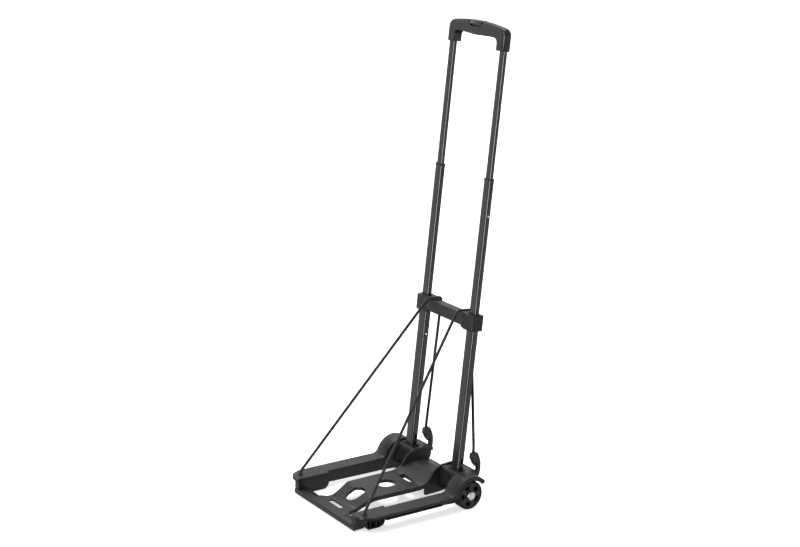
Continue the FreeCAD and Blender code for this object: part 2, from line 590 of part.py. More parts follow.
def grip_outer(d):
    """The grip as one closed form, before it is hollowed and split."""
    out = [(GRIP_LEG_X, GRIP_T0), (GRIP_X, GRIP_T0), (GRIP_X, 963.0), (66.0, 966.8), (34.0, 970.0), (0.0, 970.8),
           (-34.0, 970.0), (-66.0, 966.8), (-GRIP_X, 963.0), (-GRIP_X, GRIP_T0), (-GRIP_LEG_X, GRIP_T0),
           (-GRIP_LEG_X, 943.6), (-40.0, 943.6), (0.0, 941.8), (40.0, 943.6), (GRIP_LEG_X, 943.6)]
    rad = [0, 0, 24, 60, 80, 120, 80, 60, 24, 0, 0, 11, 60, 80, 60, 11]
    s = slab_y(out, rad, -d, d)
    # full round along the top and down the outer edges
    for r in (GRIP_ROUND, GRIP_ROUND - 1, GRIP_ROUND - 2, GRIP_ROUND - 3, 4.2):
        n = s.Volume
        s2 = soften(s, r + d - GRIP_D, lambda e: abs(abs(bb(e).YMin) - d) < 1e-3 and abs(bb(e).YMax - bb(e).YMin) < 1e-3
                    and bb(e).ZMin > 935.0 and bb(e).ZMax > 948.0)
        if s2.Volume < n - 1.0:
            print("grip rounding", r)
            return s2
    return s


def grip_shells():
    s = grip_outer(GRIP_D)
    s = soften(s, 2.4, lambda e: abs(abs(bb(e).YMin) - GRIP_D) < 1e-3 and abs(bb(e).YMax - bb(e).YMin) < 1e-3
               and bb(e).ZMax < 960 and bb(e).ZMin > 940 and abs(bb(e).XMax) < 75)
    cav = [(-86.0, 946.0), (86.0, 946.0), (86.0, 952.6), (77.0, 960.6), (25.0, 964.0), (25.0, 967.2), (-25.0, 967.2),
           (-25.0, 964.0), (-77.0, 960.6), (-86.0, 952.6)]
    s = s.cut(slab_y(cav, 0, -7.2, 7.2))
    # opening for the button, through the top and the front edge
    s = s.cut(slab_z(rect(-BTN_X - 0.4, BTN_X + 0.4, -30.0, 5.6), 2.0, 960, 980))
    s = s.cut(box(-BTN_X - 0.4, BTN_X + 0.4, -30.0, -5.0, BTN_Z - BTN_TRAVEL - 0.3, 970))
    # screw bosses
    for x in (-45.0, 45.0):
        s = s.fuse(cyl_y(-8.0, 8.0, x, 949.0, 2.8))
    # tube pockets and rod holes
    for sx in (-1, 1):
        w, d = TOP_W + 0.04, TOP_D + 0.04
        s = s.cut(slab_z(rect(sx * TUBE_X - w / 2, sx * TUBE_X + w / 2, -d / 2, d / 2), TUBE_R, 900.0, TOP_T1 + 0.02))
        s = s.cut(cyl_z(940.0, 948.0, sx * TUBE_X, 0, 2.6))
        # side ridges: shallow flutes either side of the joint line
        for y in (-4.6, 4.6):
            xo = sx * GRIP_X
            a, b = sorted((xo - sx * 0.8, xo + sx * 2))
            s = s.cut(box(a, b, y - 0.9, y + 0.9, GRIP_T0 + 6.0, 948.0))
    # spring seat
    s = s.cut(cyl_z(944.6, 947.0, 0, 0, 4.6))
    front = s.common(box(-120, 120, -40, -0.01, 900, 990))
    rear = s.common(box(-120, 120, 0.01, 40, 900, 990))
    for x in (-45.0, 45.0):
        rear = rear.cut(cyl_y(-1, 40, x, 949.0, 1.42)).cut(cyl_y(GRIP_D - 2.0, 40, x, 949.0, 2.9))
        front = front.cut(cyl_y(-6.0, 1, x, 949.0, 1.42))
    return front.removeSplitter(), rear.removeSplitter()


def button():
    """Release button: a cap that wraps over the grip's front edge, and its flange."""
    s = grip_outer(GRIP_D + BTN_PROUD)
    s.translate(V(0, 0, BTN_PROUD))
    s = s.common(slab_z(rect(-BTN_X, BTN_X, -30.0, 5.2), 1.6, BTN_Z, 990))
    # two shallow finger dimples on the front edge
    for x in (-9.0, 9.0):
        s = s.cut(Part.makeSphere(14.0, V(x, -17.9, 978.9)))
    flange = slab_z(rect(-22.0, 22.0, -6.8, 6.8), 3.0, 960.2, 963.4)
    return fuse(s, flange)


def yoke():
    p = [(-85.2, 950.0), (-79.0, 950.0), (-72.0, 956.0), (72.0, 956.0), (79.0, 950.0), (85.2, 950.0),
         (85.2, 951.8), (80.0, 956.0), (74.0, 959.6), (-74.0, 959.6), (-80.0, 956.0), (-85.2, 951.8)]
    return slab_y(p, 0.5, -3.0, 3.0)


def spring(x, t0, t1, r, wire, turns):
    pitch = (t1 - t0 - wire) / turns
    helix = Part.makeHelix(pitch, pitch * turns, r)
    circ = Part.Wire(Part.makeCircle(wire / 2, V(r, 0, 0), V(0, 1, 0)))
    s = Part.Wire(helix).makePipeShell([circ], True, True)
    s.translate(V(x, 0, t0 + wire / 2))
    return s


def hook_piece():
    """Right hook, drawn in the plane of its cord: barrel on top, curl under the ledge."""
    p = [(30.4, 94.0), (29.8, 88.0), (33.0, 82.0), (36.0, 76.5), (43.8, 68.2), (44.6, 71.5), (41.2, 77.0),
         (42.0, 79.6), (46.2, 75.5), (48.2, 68.0), (48.0, 58.0), (45.0, 52.4), (39.5, 53.0), (37.2, 57.8),
         (32.6, 57.8), (32.6, 51.0), (37.0, 46.0), (46.0, 44.2), (54.0, 47.5), (56.6, 56.0), (56.8, 66.0),
         (55.2, 79.0), (50.6, 90.0), (45.5, 98.5), (41.0, 98.5)]
    rad = [2, 4, 4, 2, 0.6, 0.8, 1, 1.2, 5, 10, 6, 5, 2, 0.6, 0.8, 4, 6, 8, 7, 10, 20, 20, 12, 2.5, 1]
    s = slab_x(p, rad, 85.0 - 4.0, 85.0 + 4.0)
    s = soften(s, 1.0, lambda e: abs(bb(e).XMax - bb(e).XMin) < 1e-3 and bb(e).YMax > 50 and bb(e).ZMin > 44)
    barrel = slab_x([(30.6, 84.5), (46.5, 84.5), (45.2, 99.6), (30.6, 97.2)], [2, 2, 2, 2], 85.0 - 5.8, 85.0 + 5.8)
    barrel = soften(barrel, 1.2, lambda e: abs(bb(e).XMax - bb(e).XMin) < 1e-3)
    s = s.fuse(barrel)
    s = s.cut(cyl_z(89.5, 101.0, 85.0, CORD_HOOK_OFF, CORD_R + 0.6))
    return s.removeSplitter()


def knot():
    k = Part.makeSphere(5.6, V(CORD_X, CORD_Y, 27.4))
    k = k.cut(box(110, 134, -260, -226, KNOT_TOP, 60))
    k = k.fuse(Part.makeTorus(3.6, 2.1, V(CORD_X, CORD_Y, 26.0), V(0.25, 0.1, 1)))
    return k.removeSplitter()


def cord_route():
    """Corner points of the right cord's line, and the radius at each corner."""
    pts = [V(CORD_X, CORD_Y, KNOT_TOP + 0.05), V(CORD_X, CORD_Y, 42.0),
           leanpt(CORD_BAR_X, -18.05, 394.8), leanpt(CORD_BAR_X, 0.0, 393.6), leanpt(CORD_BAR_X, 15.15, 395.0),
           leanpt(85.0, CORD_HOOK_OFF, 106.0), leanpt(85.0, CORD_HOOK_OFF, 89.6)]
    rad = [0, 40.0, 40.0, 200.0, 40.0, 200.0, 0]
    return pts, rad


def cord_solid():
    pts, rad = cord_route()
    edges = []
    last = pts[0]
    length = 0.0
    for i in range(1, len(pts) - 1):
        p = pts[i]
        a = (pts[i - 1] - p)
        b = (pts[i + 1] - p)
        la, lb = a.Length, b.Length
        a.normalize()
        b.normalize()
        turn = math.pi - a.getAngle(b)
        r = rad[i]
        tl = r * math.tan(turn / 2)
        lim = 0.45 * min(la, lb)
        if tl > lim:
            tl = lim
            r = tl / math.tan(turn / 2)
        s = p + a * tl
        e = p + b * tl
        h = a + b
        h.normalize()
        m = p + h * (r / math.cos(turn / 2) - r)
        edges.append(Part.LineSegment(last, s).toShape())
        edges.append(Part.Arc(s, m, e).toShape())
        length += (s - last).Length + r * turn
        print("cord corner", i, "turn", round(math.degrees(turn), 1), "radius", round(r, 1))
        last = e
    edges.append(Part.LineSegment(last, pts[-1]).toShape())
    length += (pts[-1] - last).Length
    path = Part.Wire(edges)
    d = pts[1] - pts[0]
    circ = Part.Wire(Part.makeCircle(CORD_R, pts[0], d))
    s = path.makePipeShell([circ], True, False)
    print("cord length", round(length, 1), "volume ratio", round(s.Volume / (math.pi * CORD_R ** 2 * length), 4))
    return s


# ------------------------------------------------------------------ assembly
def pair(name, shape):
    """A right-hand piece and its mirror image."""
    add("right_" + name, shape)
    add("left_" + name, mirror_x(shape))


arm = side_arm()
pair("side_arm", arm)
pair("front_foot", front_foot())
add("centre_tray", centre_tray())
add("front_crossbar", front_crossbar())
pair("cord_knot", knot())
add("wheel_axle", cyl_x(-143.0, 143.0, 0, AXLE_Z, AXLE_R))

hub, tyre = wheel()
pair("wheel_hub", hub)
pair("tyre", tyre)

cap = cyl_x(139.4, 145.6, 0, AXLE_Z, 9.6)
cap = soften(cap, 2.6, lambda e: abs(bb(e).XMin - 145.6) < 1e-3)
cap = cap.cut(cyl_x(139.0, 143.02, 0, AXLE_Z, AXLE_R))
cap = cap.cut(cyl_x(144.9, 146.0, 0, AXLE_Z, 6.4).cut(cyl_x(144.8, 146.1, 0, AXLE_Z, 5.4)))
pair("axle_cap", cap)

wash = []
for x0, x1, r in ((51.02, 52.4, 9.0), (106.6, 108.98, 9.0), (113.3, 115.0, 8.0)):
    w = cyl_x(x0, x1, 0, AXLE_Z, r).cut(cyl_x(x0 - 1, x1 + 1, 0, AXLE_Z, AXLE_R + 0.01))
    wash += [w, mirror_x(w)]
add("axle_washers", wash)

screws = []
for x in (-34.0, 34.0):
    screws.append(pan_screw(x, -249.0, 6.0, 5.6))
for x in (-107.5, 107.5):
    screws.append(pan_screw(x, -249.0, 6.5, 5.2))
add("base_screws", screws)

pair("tube_socket", lean(socket_piece()))
low = tube(LOW_W, LOW_D, LOW_T0 + 0.02, LOW_T1)
mid = tube(MID_W, MID_D, MID_T0, MID_T1)
top = tube(TOP_W, TOP_D, TOP_T0, TOP_T1)
tubes = {}
for side, sx in (("right", 1), ("left", -1)):
    lo, mi, tp = low.copy(), mid.copy(), top.copy()
    if sx < 0:
        lo, mi, tp = mirror_x(lo), mirror_x(mi), mirror_x(tp)
    cx = sx * TUBE_X
    # the middle stage's lock pins face inward, the upper stage's face outward
    ia, ib = sorted((cx - sx * 5.0, cx - sx * 20.0))
    oa, ob = sorted((cx + sx * 5.0, cx + sx * 20.0))
    lo = lo.cut(cyl_x(ia, ib, 0, MID_PIN_T, PIN_R + 0.2))
    slot = slab_x([(-2.2, 79.0), (2.2, 79.0), (2.2, 92.5), (-2.2, 92.5)], 2.1, cx + 5, cx + 20)
    slot.translate(V(0, 0.6, 0))
    lo = lo.cut(slot)
    lo = lo.cut(cyl_y(-12, -4, cx, 54.0, 1.62))
    mi = mi.cut(cyl_x(ia, ib, 0, MID_PIN_T, PIN_R + 0.1))
    mi = mi.cut(cyl_x(oa, ob, 0, TOP_PIN_T, PIN_R + 0.2))
    for s2 in (-1, 1):
        a, b = sorted((cx + s2 * 8.0, cx + s2 * 14.0))
        mi = mi.cut(box(a, b, -1.72, 1.72, MID_T1 - 23.02, MID_T1 - 2.98))
    tp = tp.cut(cyl_x(oa, ob, 0, TOP_PIN_T, PIN_R + 0.1))
    add(side + "_lower_tube", lean(lo))
    add(side + "_middle_tube", lean(mi))
    add(side + "_upper_tube", lean(tp))

fr, re = crossbar_shells()
add("crossbar_front_shell", lean(fr))
add("crossbar_rear_shell", lean(re))
add("crossbar_screws", [lean(screw_y(x, BAR_D - 2.2, 378.0, 14.0, -1)) for x in (-38.0, 38.0)])
lb = low_bush()
add("lower_tube_bushes", [lean(lb), lean(mirror_x(lb))])
mb = mid_bush()
add("middle_tube_bushes", [lean(mb), lean(mirror_x(mb))])
sc = [lean(screw_y(x, -17.9, 54.0, 10.8, 1, r=1.6, head=3.6, hh=1.6)) for x in (-TUBE_X, TUBE_X)]
add("socket_screws", sc)

lh = lock_head(MID_W - 2 * WALL - 0.1, MID_D - 2 * WALL - 0.1, MID_T0 + 1, 320.0, MID_PIN_T, None)
uh = lock_head(TOP_W - 2 * WALL - 0.1, TOP_D - 2 * WALL - 0.1, TOP_T0 + 1, 610.0, TOP_PIN_T, 604.0)
shift = V(-2 * TUBE_X, 0, 0)
inward = lh.copy()
inward.translate(shift)                 # left leg, bore toward the middle
add("middle_lock_heads", [lean(inward), lean(mirror_x(inward))])
add("upper_lock_heads", [lean(uh), lean(mirror_x(uh))])
lp = lock_pin(LOW_W / 2 + 0.6, MID_PIN_T, 1.8)
lp.translate(shift)
add("left_middle_lock_pin", lean(lp))
add("right_middle_lock_pin", lean(mirror_x(lp)))
up = lock_pin(MID_W / 2 + 0.6, TOP_PIN_T, 1.8)
add("right_upper_lock_pin", lean(up))
add("left_upper_lock_pin", lean(mirror_x(up)))

gf, gr = grip_shells()
add("grip_front_shell", lean(gf))
add("grip_rear_shell", lean(gr))
add("grip_screws", [lean(screw_y(x, GRIP_D - 2.0, 949.0, 12.0, -1, r=1.4, head=2.7, hh=1.6)) for x in (-45.0, 45.0)])
add("release_button", lean(button()))
add("push_yoke", lean(yoke()))
rod = cyl_z(609.0, 949.98, TUBE_X, 0, 1.9)
add("push_rods", [lean(rod), lean(mirror_x(rod))])
add("button_spring", lean(spring(0, 944.7, 955.9, 3.6, 0.8, 4)))

pair("hook", lean(hook_piece()))
pair("elastic_cord", cord_solid())

# bottom centre of the whole object, without the cords and what is on them
CORDS = ("right_elastic_cord", "left_elastic_cord", "right_hook", "left_hook", "right_cord_knot", "left_cord_knot")
box_all = None
for n, s in NODES.items():
    if n in CORDS:
        continue
    b = s.optimalBoundingBox(False, False)
    if box_all is None:
        box_all = FreeCAD.BoundBox(b)
    else:
        box_all.add(b)
SHIFT_Y = -(box_all.YMin + box_all.YMax) / 2
print("box", [round(v, 3) for v in (box_all.XMin, box_all.XMax, box_all.YMin, box_all.YMax, box_all.ZMin, box_all.ZMax)])
print("axle y after the shift", round(SHIFT_Y, 4))

os.makedirs("parts", exist_ok=True)
for n, s in NODES.items():
    s = s.copy()
    s.translate(V(0, SHIFT_Y, 0))
    bad = [k for k, so in enumerate(s.Solids) if not so.isValid()]
    print("%-24s solids %d volume %.1f%s" % (n, len(s.Solids), s.Volume, "  INVALID" if bad or not s.isValid() else ""))
    s.exportStep("parts/%s.step" % n)
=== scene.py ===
import math

import bmesh
import bpy
import numpy as np
from mathutils import Matrix, Vector


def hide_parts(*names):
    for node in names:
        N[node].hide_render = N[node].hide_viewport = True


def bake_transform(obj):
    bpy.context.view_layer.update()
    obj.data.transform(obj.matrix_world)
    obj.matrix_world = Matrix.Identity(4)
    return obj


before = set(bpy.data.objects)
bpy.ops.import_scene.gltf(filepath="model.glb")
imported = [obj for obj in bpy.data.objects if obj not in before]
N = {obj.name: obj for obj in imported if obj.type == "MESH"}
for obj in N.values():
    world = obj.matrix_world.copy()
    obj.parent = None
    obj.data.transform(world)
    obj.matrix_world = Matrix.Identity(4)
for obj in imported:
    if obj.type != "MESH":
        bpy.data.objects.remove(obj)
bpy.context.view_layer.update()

scene = bpy.context.scene

# ------------------------------------------------------------------ camera
AZ, EL, ROLL = 0.9712, 0.2742, 0.0201
AXLE_Y = 0.0796172
back = Vector((math.sin(AZ) * math.cos(EL), -math.cos(AZ) * math.cos(EL), math.sin(EL)))
right0 = Vector((math.cos(AZ), math.sin(AZ), 0.0))
up0 = back.cross(right0)
right = math.cos(ROLL) * right0 + math.sin(ROLL) * up0
up = -math.sin(ROLL) * right0 + math.cos(ROLL) * up0
eye = Vector((0.0, -0.05 + AXLE_Y, 0.45)) + back * 3.4488 + right * -0.0305 + up * 0.0182
cam_data = bpy.data.cameras.new("camera")
cam_data.sensor_width = 36.0
cam_data.lens = 1722.06 / 800.0 * 36.0
cam_data.clip_start = 0.05
cam_data.clip_end = 200.0
cam = bpy.data.objects.new("camera", cam_data)
cam.matrix_world = Matrix(((right.x, up.x, back.x, eye.x), (right.y, up.y, back.y, eye.y),
                           (right.z, up.z, back.z, eye.z), (0, 0, 0, 1)))
scene.collection.objects.link(cam)
scene.camera = cam


# --------------------------------------------------------------- node helpers
class Tree:
    """A small hand for building material nodes."""

    def __init__(self, name):
        self.mat = bpy.data.materials.new(name)
        self.mat.use_nodes = True
        self.nt = self.mat.node_tree
        self.nt.nodes.clear()
        self.out = self.add("ShaderNodeOutputMaterial")
        self.b = self.add("ShaderNodeBsdfPrincipled")
        self.link(self.b.outputs[0], self.out.inputs[0])
        self.co = self.add("ShaderNodeTexCoord").outputs["Object"]

    def add(self, kind, **props):
        n = self.nt.nodes.new(kind)
        for k, v in props.items():
            setattr(n, k, v)
        return n

    def link(self, a, b):
        self.nt.links.new(a, b)

    def put(self, socket, value):
        if isinstance(value, bpy.types.NodeSocket):
            self.link(value, socket)
        else:
            socket.default_value = value

    def mapping(self, scale, rotation=(0, 0, 0), location=(0, 0, 0), source=None):
        n = self.add("ShaderNodeMapping")
        n.inputs["Scale"].default_value = scale
        n.inputs["Rotation"].default_value = rotation
        n.inputs["Location"].default_value = location
        self.link(source or self.co, n.inputs["Vector"])
        return n.outputs[0]

    def noise(self, scale, detail=3.0, rough=0.55, source=None, distortion=0.0):
        n = self.add("ShaderNodeTexNoise")
        n.inputs["Scale"].default_value = scale
        n.inputs["Detail"].default_value = detail
        n.inputs["Roughness"].default_value = rough
        n.inputs["Distortion"].default_value = distortion
        self.link(source or self.co, n.inputs["Vector"])
        return n.outputs["Fac"]

    def voronoi(self, scale, feature="F1", source=None, randomness=1.0):
        n = self.add("ShaderNodeTexVoronoi", feature=feature)
        n.inputs["Scale"].default_value = scale
        n.inputs["Randomness"].default_value = randomness
        self.link(source or self.co, n.inputs["Vector"])
        return n.outputs["Distance"]

    def ramp(self, fac, stops):
        n = self.add("ShaderNodeValToRGB")
        els = n.color_ramp.elements
        while len(els) < len(stops):
            els.new(0.5)
        for e, (pos, col) in zip(els, stops):
            e.position = pos
            e.color = (*col, 1.0) if len(col) == 3 else col
        self.link(fac, n.inputs[0])
        return n.outputs[0]

    def span(self, fac, a, b, lo=0.0, hi=1.0):
        n = self.add("ShaderNodeMapRange")
        n.inputs["From Min"].default_value = lo
        n.inputs["From Max"].default_value = hi
        n.inputs["To Min"].default_value = a
        n.inputs["To Max"].default_value = b
        self.link(fac, n.inputs["Value"])
        return n.outputs[0]

    def math(self, op, a, b=0.0, clamp=False):
        n = self.add("ShaderNodeMath", operation=op, use_clamp=clamp)
        self.put(n.inputs[0], a)
        self.put(n.inputs[1], b)
        return n.outputs[0]

    def mix(self, fac, a, b, kind="MIX"):
        n = self.add("ShaderNodeMix", data_type="RGBA", blend_type=kind)
        self.put(n.inputs[0], fac)
        self.put(n.inputs[6], a if isinstance(a, bpy.types.NodeSocket) else (*a, 1.0))
        self.put(n.inputs[7], b if isinstance(b, bpy.types.NodeSocket) else (*b, 1.0))
        return n.outputs[2]

    def bump(self, height, strength, distance, normal=None):
        n = self.add("ShaderNodeBump")
        n.inputs["Strength"].default_value = strength
        n.inputs["Distance"].default_value = distance
        self.link(height, n.inputs["Height"])
        if normal is not None:
            self.link(normal, n.inputs["Normal"])
        return n.outputs[0]

    def set(self, **kw):
        names = {"color": "Base Color", "metallic": "Metallic", "rough": "Roughness", "ior": "IOR",
                 "spec": "Specular IOR Level", "coat": "Coat Weight", "coat_rough": "Coat Roughness",
                 "sheen": "Sheen Weight", "sheen_rough": "Sheen Roughness", "normal": "Normal"}
        for k, v in kw.items():
            if k == "color" and not isinstance(v, bpy.types.NodeSocket):
                v = (*v, 1.0)
            self.put(self.b.inputs[names[k]], v)
        return self.mat


def scaled(c, f):
    return tuple(min(1.0, x * f) for x in c)


def moulded(name, base, rough=(0.5, 0.62), grain=1500.0, depth=0.00007, strength=0.35, spec=0.5, hide=0.0):
    """Spark-eroded moulded plastic: fine even grain, faint flow marks, slight wear in the colour."""
    t = Tree(name)
    fine = t.noise(grain, 4.0, 0.62)
    pits = t.voronoi(grain * 0.55)
    flow = t.noise(9.0, 3.0, 0.5, source=t.mapping((1.0, 0.35, 1.0)))
    dust = t.noise(46.0, 5.0, 0.62, distortion=0.4)
    tone = t.ramp(flow, [(0.3, scaled(base, 0.88)), (0.7, scaled(base, 1.1))])
    tone = t.mix(t.span(dust, 0.0, 0.35, 0.5, 0.75), tone, scaled(base, 1.32))
    speck = t.ramp(fine, [(0.36, scaled(base, 0.72)), (0.5, scaled(base, 1.0)), (0.66, scaled(base, 1.42))])
    col = t.mix(0.55, tone, speck)
    height = t.math("ADD", fine, t.math("MULTIPLY", pits, 0.5))
    r = t.math("ADD", t.span(dust, rough[0], rough[1], 0.35, 0.7), t.span(fine, -0.03, 0.03, 0.3, 0.7))
    first = t.bump(height, strength, depth)
    if hide > 0.0:
        cells = t.voronoi(520.0, "SMOOTH_F1", source=t.mapping((1.0, 1.0, 1.0), rotation=(0.3, 0.2, 0.5)))
        first = t.bump(cells, hide, 0.00042, first)
    return t.set(color=col, rough=r, spec=spec, normal=first)


def coated_tube(name, base, rough=(0.19, 0.27), axis_tilt=5.5):
    """Satin black coating over an extruded tube: faint draw lines along it, a few light rubs."""
    t = Tree(name)
    along = t.mapping((900.0, 900.0, 5.0), rotation=(math.radians(axis_tilt), 0, 0))
    lines = t.noise(1.0, 3.0, 0.6, source=along)
    rubs = t.noise(1.0, 4.0, 0.7, source=t.mapping((420.0, 420.0, 2.2), rotation=(math.radians(axis_tilt), 0, 0)))
    cloud = t.noise(14.0, 3.0, 0.5)
    peel = t.noise(700.0, 2.0, 0.5)
    col = t.mix(t.span(lines, 0.0, 1.0, 0.3, 0.7), scaled(base, 0.82), scaled(base, 1.25))
    col = t.mix(t.span(rubs, 0.0, 0.6, 0.66, 0.78), col, scaled(base, 2.1))
    r = t.math("ADD", t.span(cloud, rough[0], rough[1], 0.35, 0.65), t.span(lines, -0.03, 0.04, 0.3, 0.7))
    h = t.math("ADD", t.math("MULTIPLY", lines, 0.6), t.math("MULTIPLY", peel, 0.5))
    return t.set(color=col, rough=r, spec=0.55, normal=t.bump(h, 0.18, 0.00004))


def steel(name, base, rough=(0.2, 0.36), spin=None):
    """Zinc-plated or pressed bright steel."""
    t = Tree(name)
    fine = t.noise(1800.0, 4.0, 0.6)
    cloud = t.noise(160.0, 3.0, 0.5)
    col = t.mix(t.span(cloud, 0.0, 1.0, 0.35, 0.65), scaled(base, 0.86), scaled(base, 1.06))
    r = t.math("ADD", t.span(cloud, rough[0], rough[1], 0.3, 0.7), t.span(fine, -0.03, 0.03, 0.3, 0.7))
    return t.set(color=col, metallic=1.0, rough=r, normal=t.bump(fine, 0.12, 0.00003))


def tyre_rubber(name, base):
    t = Tree(name)
    fine = t.noise(1300.0, 4.0, 0.6)
    scuff = t.noise(90.0, 5.0, 0.65, distortion=0.6)
    col = t.mix(t.span(scuff, 0.0, 0.8, 0.5, 0.75), scaled(base, 0.9), scaled(base, 1.5))
    r = t.span(scuff, 0.62, 0.78, 0.35, 0.7)
    return t.set(color=col, rough=r, spec=0.35, normal=t.bump(fine, 0.35, 0.00008))


def gloss(name, base, rough=(0.1, 0.17)):
    t = Tree(name)
    cloud = t.noise(120.0, 4.0, 0.6)
    smear = t.noise(60.0, 5.0, 0.6, source=t.mapping((1.0, 3.0, 1.0)), distortion=0.8)
    col = t.mix(t.span(cloud, 0.0, 1.0, 0.3, 0.7), scaled(base, 0.85), scaled(base, 1.25))
    r = t.span(smear, rough[0], rough[1], 0.35, 0.7)
    return t.set(color=col, rough=r, spec=0.5, coat=0.4, coat_rough=0.08,
                 normal=t.bump(t.noise(500.0, 2.0, 0.5), 0.05, 0.00003))


def braid_material(name, base):
    """Woven polyester sleeve of the elastic cord; the weave itself is in the mesh."""
    t = Tree(name)
    fibre = t.noise(2600.0, 4.0, 0.65)
    tone = t.noise(120.0, 4.0, 0.6)
    fuzz = t.noise(700.0, 5.0, 0.7)
    col = t.mix(t.span(tone, 0.0, 1.0, 0.3, 0.7), scaled(base, 0.8), scaled(base, 1.3))
    col = t.mix(t.span(fibre, 0.0, 0.5, 0.5, 0.75), col, scaled(base, 2.4))
    h = t.math("ADD", fibre, t.math("MULTIPLY", fuzz, 0.5))
    return t.set(color=col, rough=t.span(fibre, 0.62, 0.82, 0.3, 0.7), sheen=0.35, sheen_rough=0.4, spec=0.35,
                 normal=t.bump(h, 0.4, 0.00006))


M = {
    "moulding": moulded("charcoal_moulding", (0.0165, 0.0158, 0.0178), rough=(0.38, 0.50), spec=0.32, hide=0.55),
    "frame_moulding": moulded("dark_moulding", (0.0160, 0.0155, 0.0172), rough=(0.38, 0.50), spec=0.34),
    "grip": moulded("grip_moulding", (0.0150, 0.0146, 0.0160), rough=(0.30, 0.42), grain=1900.0, depth=0.00004,
                    strength=0.22, spec=0.45),
    "hook": moulded("hook_nylon", (0.0150, 0.0150, 0.0160), rough=(0.36, 0.48), grain=1700.0, spec=0.42),
    "bush": moulded("bush_plastic", (0.014, 0.014, 0.016), rough=(0.38, 0.5), spec=0.4),
    "wheel": moulded("wheel_plastic", (0.0180, 0.0180, 0.0188), rough=(0.38, 0.50), grain=1700.0, spec=0.42),
    "tyre": tyre_rubber("tyre_elastomer", (0.0170, 0.0170, 0.0178)),
    "tube": coated_tube("tube_coating", (0.0130, 0.0130, 0.0145)),
    "steel": steel("zinc_steel", (0.62, 0.62, 0.63)),
    "black_steel": steel("blackened_screw", (0.045, 0.045, 0.048), rough=(0.3, 0.42)),
    "cap": steel("bright_cap", (0.62, 0.62, 0.61), rough=(0.16, 0.30)),
    "button": gloss("button_gloss", (0.006, 0.006, 0.007)),
    "cord": braid_material("braid", (0.016, 0.016, 0.018)),
}

use = {
    "moulding": ["right_side_arm", "left_side_arm", "right_front_foot", "left_front_foot", "centre_tray",
                 "front_crossbar"],
    "frame_moulding": ["right_tube_socket", "left_tube_socket", "crossbar_front_shell", "crossbar_rear_shell"],
    "grip": ["grip_front_shell", "grip_rear_shell"],
    "button": ["release_button"],
    "hook": ["right_hook", "left_hook"],
    "bush": ["lower_tube_bushes", "middle_tube_bushes", "middle_lock_heads", "upper_lock_heads", "push_yoke"],
    "wheel": ["right_wheel_hub", "left_wheel_hub"],
    "tyre": ["right_tyre", "left_tyre"],
    "tube": ["right_lower_tube", "left_lower_tube", "right_middle_tube", "left_middle_tube", "right_upper_tube",
             "left_upper_tube"],
    "black_steel": ["socket_screws", "crossbar_screws", "grip_screws"],
    "steel": ["wheel_axle", "axle_washers", "base_screws", "push_rods", "button_spring", "left_middle_lock_pin",
              "right_middle_lock_pin", "left_upper_lock_pin", "right_upper_lock_pin"],
    "cap": ["right_axle_cap", "left_axle_cap"],
    "cord": ["right_elastic_cord", "left_elastic_cord", "right_cord_knot", "left_cord_knot"],
}
for key, names in use.items():
    for n in names:
        o = N[n]
        o.data.materials.clear()
        o.data.materials.append(M[key])

# moulded edges are never sharp: a fine round on each of them catches the light
ROUND = {0.0007: ["right_side_arm", "left_side_arm", "right_front_foot", "left_front_foot", "centre_tray",
                   "front_crossbar", "right_tube_socket", "left_tube_socket", "crossbar_front_shell",
                   "crossbar_rear_shell", "right_hook", "left_hook", "right_wheel_hub", "left_wheel_hub",
                   "release_button"],
         0.0003: ["grip_front_shell", "grip_rear_shell", "middle_tube_bushes", "lower_tube_bushes",
                  "right_axle_cap", "left_axle_cap"]}
for width, names in ROUND.items():
    for n in names:
        o = N[n]
        w = o.modifiers.new("weld", "WELD")
        w.merge_threshold = 1e-6
        b = o.modifiers.new("edge_round", "BEVEL")
        b.width = width
        b.segments = 2
        b.limit_method = "ANGLE"
        b.angle_limit = math.radians(40)
        b.use_clamp_overlap = True
        b.harden_normals = True

# ------------------------------------------------------------- elastic cords
CORD_D = 0.006
LEAN = math.radians(5.5)


def leaned(x, off, t):
    """A point in the leaning plane of the handle, from millimetres."""
    return Vector((x, off * math.cos(LEAN) + t * math.sin(LEAN) + AXLE_Y * 1000.0,
                   t * math.cos(LEAN) - off * math.sin(LEAN))) / 1000.0


def toward(a, b, mm):
    return a + (b - a).normalized() * mm / 1000.0


EXIT_Y = -0.243 + AXLE_Y
CORNERS = [Vector((0.122, EXIT_Y, 0.03125)), Vector((0.122, EXIT_Y, 0.042)), leaned(51.0, -18.05, 394.8),
           leaned(51.0, 0.0, 393.6), leaned(51.0, 15.15, 395.0), leaned(85.0, 36.0, 106.0), leaned(85.0, 36.0, 89.6)]
ROUTE = [CORNERS[0], CORNERS[1], toward(CORNERS[1], CORNERS[2], 14.0), toward(CORNERS[2], CORNERS[1], 24.0),
         CORNERS[2], CORNERS[3], CORNERS[4], toward(CORNERS[4], CORNERS[5], 22.0),
         toward(CORNERS[5], CORNERS[4], 18.0), CORNERS[5], CORNERS[6]]


def nurbs(points, name="route"):
    """Open spline through the route's control points; returns the curve object."""
    cu = bpy.data.curves.new(name, "CURVE")
    cu.dimensions = "3D"
    sp = cu.splines.new("NURBS")
    sp.points.add(len(points) - 1)
    for p, co in zip(sp.points, points):
        p.co = (*co, 1.0)
    sp.order_u = 3
    sp.use_endpoint_u = True
    sp.resolution_u = 48
    ob = bpy.data.objects.new(name, cu)
    scene.collection.objects.link(ob)
    return ob


def line_of(points):
    """Points along the route's own spline."""
    ob = nurbs(points)
    bpy.context.view_layer.update()
    me = bpy.data.meshes.new_from_object(ob)
    pts = [v.co.copy() for v in me.vertices]
    bpy.data.meshes.remove(me)
    cu = ob.data
    bpy.data.objects.remove(ob)
    bpy.data.curves.remove(cu)
    return pts


